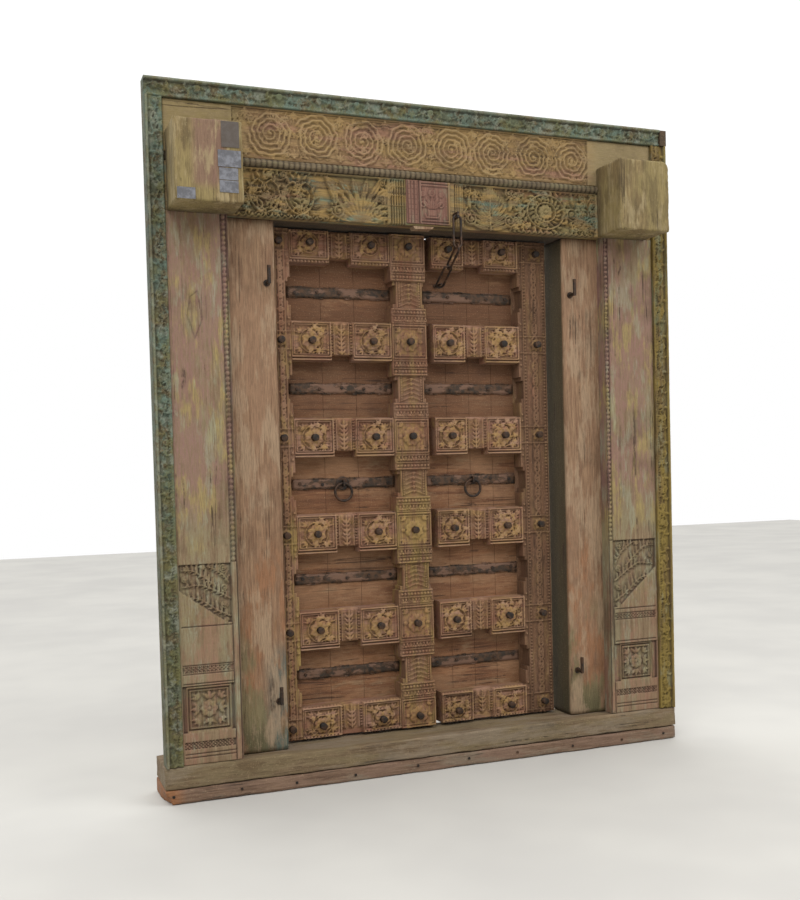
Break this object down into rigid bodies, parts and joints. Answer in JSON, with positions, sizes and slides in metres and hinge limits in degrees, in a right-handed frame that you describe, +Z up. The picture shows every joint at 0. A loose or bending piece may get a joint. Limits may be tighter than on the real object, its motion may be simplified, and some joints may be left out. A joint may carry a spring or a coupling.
{
  "type": "carved double door with frame",
  "caption": "Carved double-leaf courtyard door in its timber frame, with iron straps, bosses, pull rings and a lintel chain; leaves swing inward on wooden pivots.",
  "frame": {"origin": "middle of the sill's underside, in the plane of the pilasters' faces", "axes": "+X to the right seen from the carved front, +Y into the opening, away from the viewer, +Z up"},
  "size_m": [1.91, 0.376, 2.27],
  "materials": {
    "weathered_painted_wood": "worn bare sill timber, grey-olive and pinkish brown, matt",
    "jamb_wood": "plain jambs, thin rubbed paint over reddish tan timber, matt",
    "pilaster_paint": "flat-carved boards with mauve, pink and yellow paint remains, matt",
    "border_paint": "carved vine moulding with rubbed grey-green and mustard paint, matt",
    "dark_brown_wood": "unpainted dark timber, rough",
    "frieze_paint": "carved boards with rubbed ochre paint over tan timber, matt",
    "plaque_paint": "shallow carved square with dusty pink paint, matt",
    "beam_end_paint": "square beam ends with chalky olive-yellow paint, matt",
    "bare_paper": "small blank paper cards, soiled, matt",
    "board_wood": "pinkish brown leaf boards with rubbed paint, matt",
    "carved_leaf_wood": "reddish brown carved rails and stiles with ochre-gold in the carving, low sheen",
    "forged_iron": "hand-forged iron, dark brown-black, pitted, dull"
  },
  "bodies": {
    "frame": {"sill_lower": "weathered_painted_wood", "sill_upper": "weathered_painted_wood", "sill_nails": "forged_iron", "left_jamb": "jamb_wood", "right_jamb": "jamb_wood", "left_pilaster": "pilaster_paint", "right_pilaster": "pilaster_paint", "left_border": "border_paint", "right_border": "border_paint", "top_border": "border_paint", "border_end_block": "dark_brown_wood", "lintel_beam": "dark_brown_wood", "upper_frieze": "frieze_paint", "rope_moulding": "frieze_paint", "lower_frieze": "frieze_paint", "centre_plaque": "plaque_paint", "lintel_wedge": "jamb_wood", "left_block": "beam_end_paint", "right_block": "beam_end_paint", "blank_labels": "bare_paper", "jamb_hooks": "forged_iron", "lintel_staple": "forged_iron"},
    "left_leaf": {"left_hinge_stile": "carved_leaf_wood", "left_planks": "board_wood", "left_battens": "dark_brown_wood", "left_rail_1": "carved_leaf_wood", "left_rail_2": "carved_leaf_wood", "left_rail_3": "carved_leaf_wood", "left_rail_4": "carved_leaf_wood", "left_rail_5": "carved_leaf_wood", "left_rail_6": "carved_leaf_wood", "left_straps": "forged_iron", "left_strap_rivets": "forged_iron", "left_bosses": "forged_iron", "left_ring_rose": "forged_iron", "left_ring_staple": "forged_iron", "astragal": "carved_leaf_wood"},
    "right_leaf": {"right_hinge_stile": "carved_leaf_wood", "right_planks": "board_wood", "right_battens": "dark_brown_wood", "right_rail_1": "carved_leaf_wood", "right_rail_2": "carved_leaf_wood", "right_rail_3": "carved_leaf_wood", "right_rail_4": "carved_leaf_wood", "right_rail_5": "carved_leaf_wood", "right_rail_6": "carved_leaf_wood", "right_straps": "forged_iron", "right_strap_rivets": "forged_iron", "right_bosses": "forged_iron", "right_edge_iron": "forged_iron", "right_ring_staple": "forged_iron", "chain_hook": "forged_iron"},
    "left_ring": {"left_ring": "forged_iron"},
    "right_ring": {"right_ring": "forged_iron"},
    "chain_link_1": {"chain_link_1": "forged_iron"},
    "chain_link_2": {"chain_link_2": "forged_iron"},
    "chain_link_3": {"chain_link_3": "forged_iron"}
  },
  "joints": [
    {"name": "left_leaf_pivot", "type": "hinge", "parent": "frame", "child": "left_leaf", "pos_m": [-0.497, 0.165, 0], "axis": [0, 0, 1], "range_deg": [0, 90]},
    {"name": "right_leaf_pivot", "type": "hinge", "parent": "frame", "child": "right_leaf", "pos_m": [0.47, 0.165, 0], "axis": [0, 0, -1], "range_deg": [0, 90]},
    {"name": "left_ring_swing", "type": "hinge", "parent": "left_leaf", "child": "left_ring", "pos_m": [-0.2845, 0.158, 0.9985], "axis": [1, 0, 0], "range_deg": [-85, 0]},
    {"name": "right_ring_swing", "type": "hinge", "parent": "right_leaf", "child": "right_ring", "pos_m": [0.211, 0.158, 0.9985], "axis": [1, 0, 0], "range_deg": [-85, 0]},
    {"name": "chain_top_swing", "type": "hinge", "parent": "frame", "child": "chain_link_1", "pos_m": [0.088, -0.03, 1.902], "axis": [1, 0, 0], "range_deg": [-60, 0]},
    {"name": "chain_middle_swing", "type": "hinge", "parent": "chain_link_1", "child": "chain_link_2", "pos_m": [0.088, -0.03, 1.793], "axis": [1, 0, 0], "range_deg": [-58, 0]},
    {"name": "chain_lower_swing", "type": "hinge", "parent": "chain_link_2", "child": "chain_link_3", "pos_m": [0.088, 0.04836, 1.74404], "axis": [1, 0, 0], "range_deg": [-58, 0]}
  ]
}
